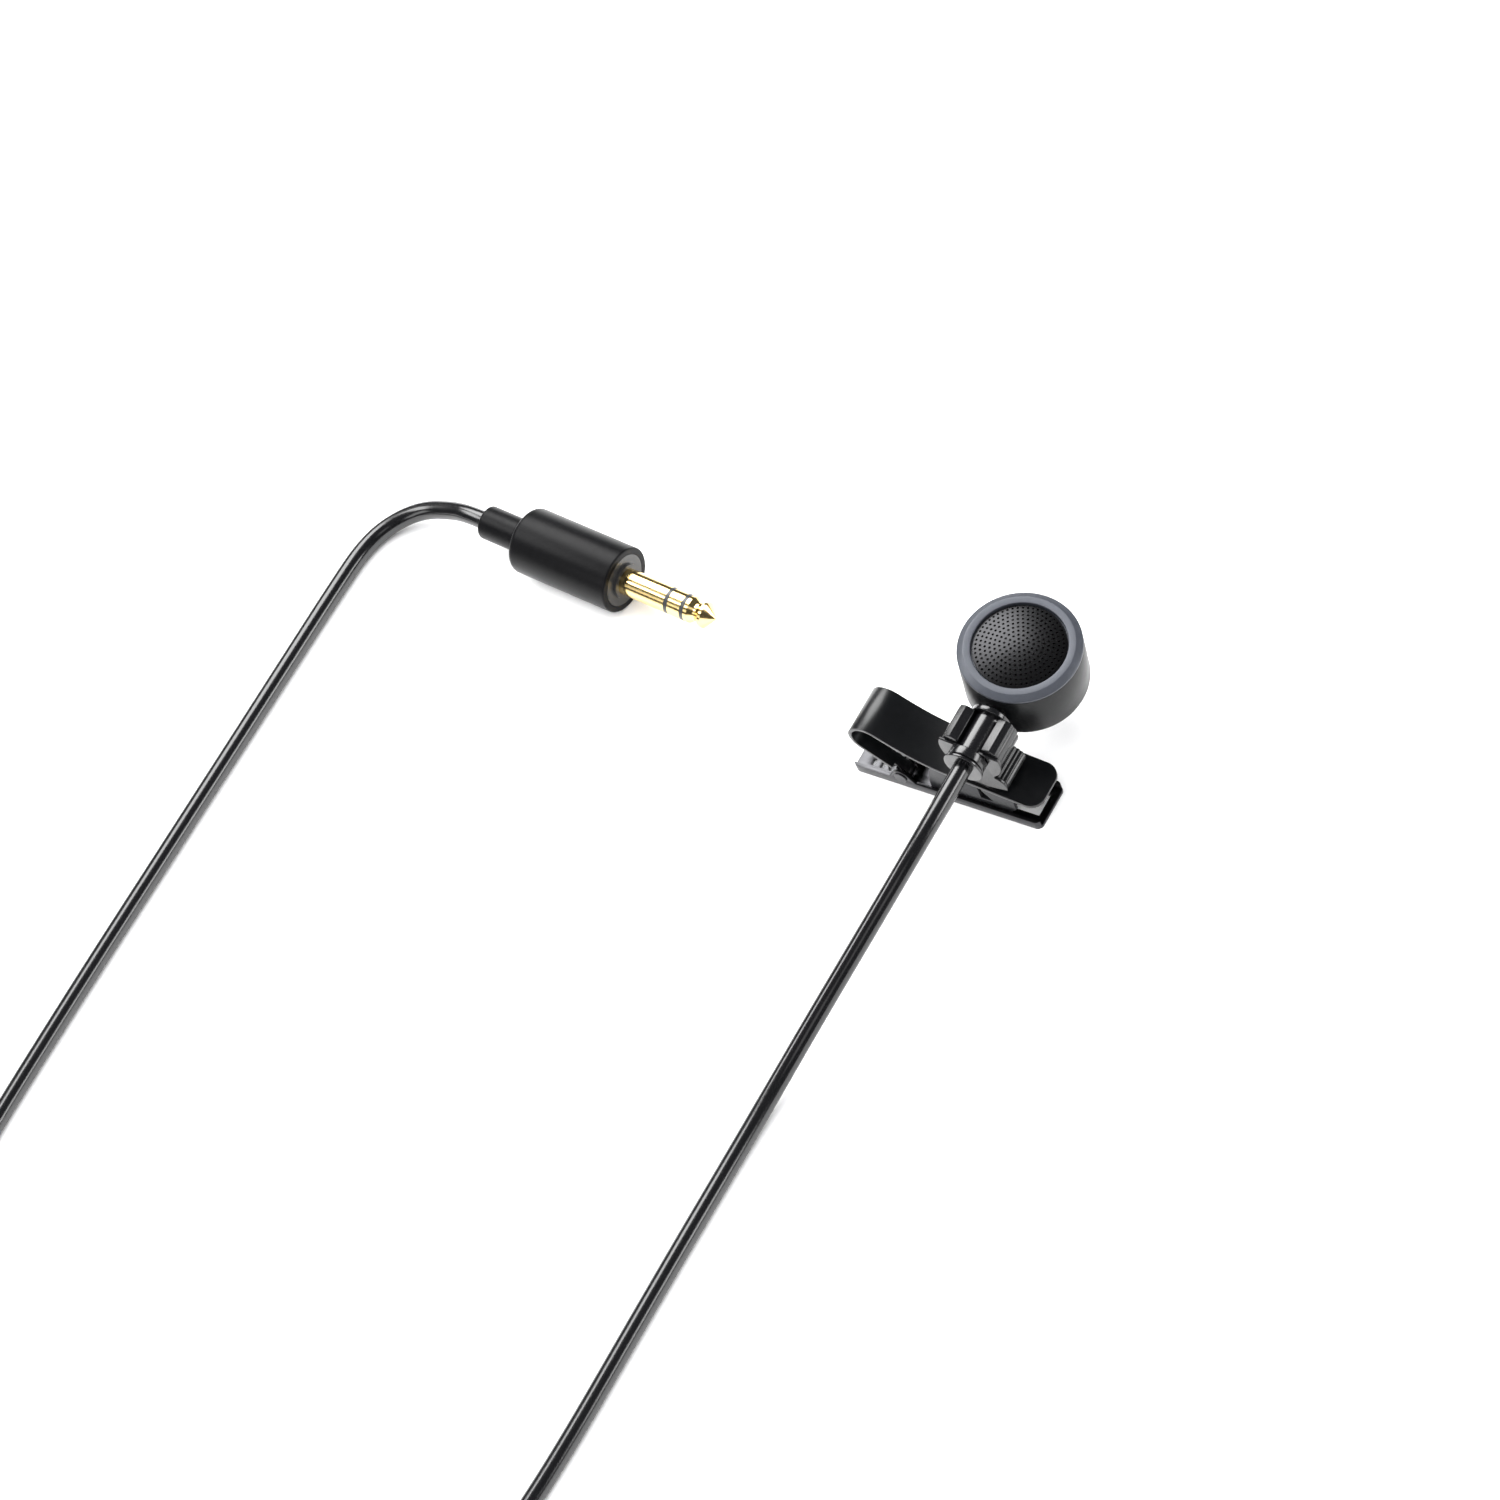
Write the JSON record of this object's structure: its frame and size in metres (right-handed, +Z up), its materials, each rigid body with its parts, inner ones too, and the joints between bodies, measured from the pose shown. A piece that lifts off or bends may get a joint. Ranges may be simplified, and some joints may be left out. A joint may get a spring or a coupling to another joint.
{
  "type": "lavalier microphone",
  "caption": "Clip-on microphone: round pierced-grille capsule head on a turning stem, spring tie clip with hinged lever, thin cable and a straight 3.5 mm plug.",
  "frame": {"origin": "middle of the bottom of the box round the clip, stem and head, on the surface that the clip's lever lies on", "axes": "+X along the clip from its finger pad to the jaw's tip, +Y along the stem from the cable to the head, +Z up from the lever to the grille"},
  "size_m": [0.1084, 0.1888, 0.0178],
  "materials": {
    "shell": "satin",
    "bezel": "satin",
    "grille": "satin",
    "felt": "matte",
    "capsule": "satin",
    "gasket": "matte",
    "board": "gloss",
    "leads": "gloss",
    "stem": "gloss",
    "holder": "satin",
    "strap": "satin",
    "steel": "polished",
    "insert": "satin",
    "cable": "gloss",
    "tie": "satin",
    "plug_body": "satin",
    "contact": "polished",
    "insulator": "gloss"
  },
  "bodies": {
    "microphone": {"head_shell": "shell", "bezel_ring": "bezel", "grille": "grille", "acoustic_felt": "felt", "electret_capsule": "capsule", "capsule_gasket": "gasket", "capsule_board": "board", "signal_leads": "leads", "stem": "stem", "stem_nut": "stem", "stem_cable": "cable", "cable_mic_run": "cable", "cable_coil": "cable", "coil_tie": "tie", "cable_plug_run": "cable", "plug_cable": "cable", "plug_boot": "plug_body", "plug_barrel": "plug_body", "plug_core": "insulator", "plug_sleeve": "contact", "plug_ring": "contact", "plug_insulators": "insulator", "plug_tip": "contact"},
    "clip_upper": {"holder": "holder", "holder_rivets": "steel", "clip_strap": "strap"},
    "jaw_lever": {"clip_lever": "steel", "jaw_insert": "insert", "insert_rivets": "steel", "pivot_pin": "steel", "torsion_spring": "steel"}
  },
  "joints": [
    {"name": "stem_turn", "type": "hinge", "parent": "microphone", "child": "clip_upper", "pos_m": [0.00595, -0.00745, 0.0129], "axis": [0, 1, 0], "continuous": true},
    {"name": "jaw_hinge", "type": "hinge", "parent": "clip_upper", "child": "jaw_lever", "pos_m": [-0.00675, -0.0071, 0.00205], "axis": [0, 1, 0], "range_deg": [0, 26], "stiffness_Nm_per_rad": 0.02, "springref_deg": -45.84, "deforming": ["torsion_spring"]}
  ]
}
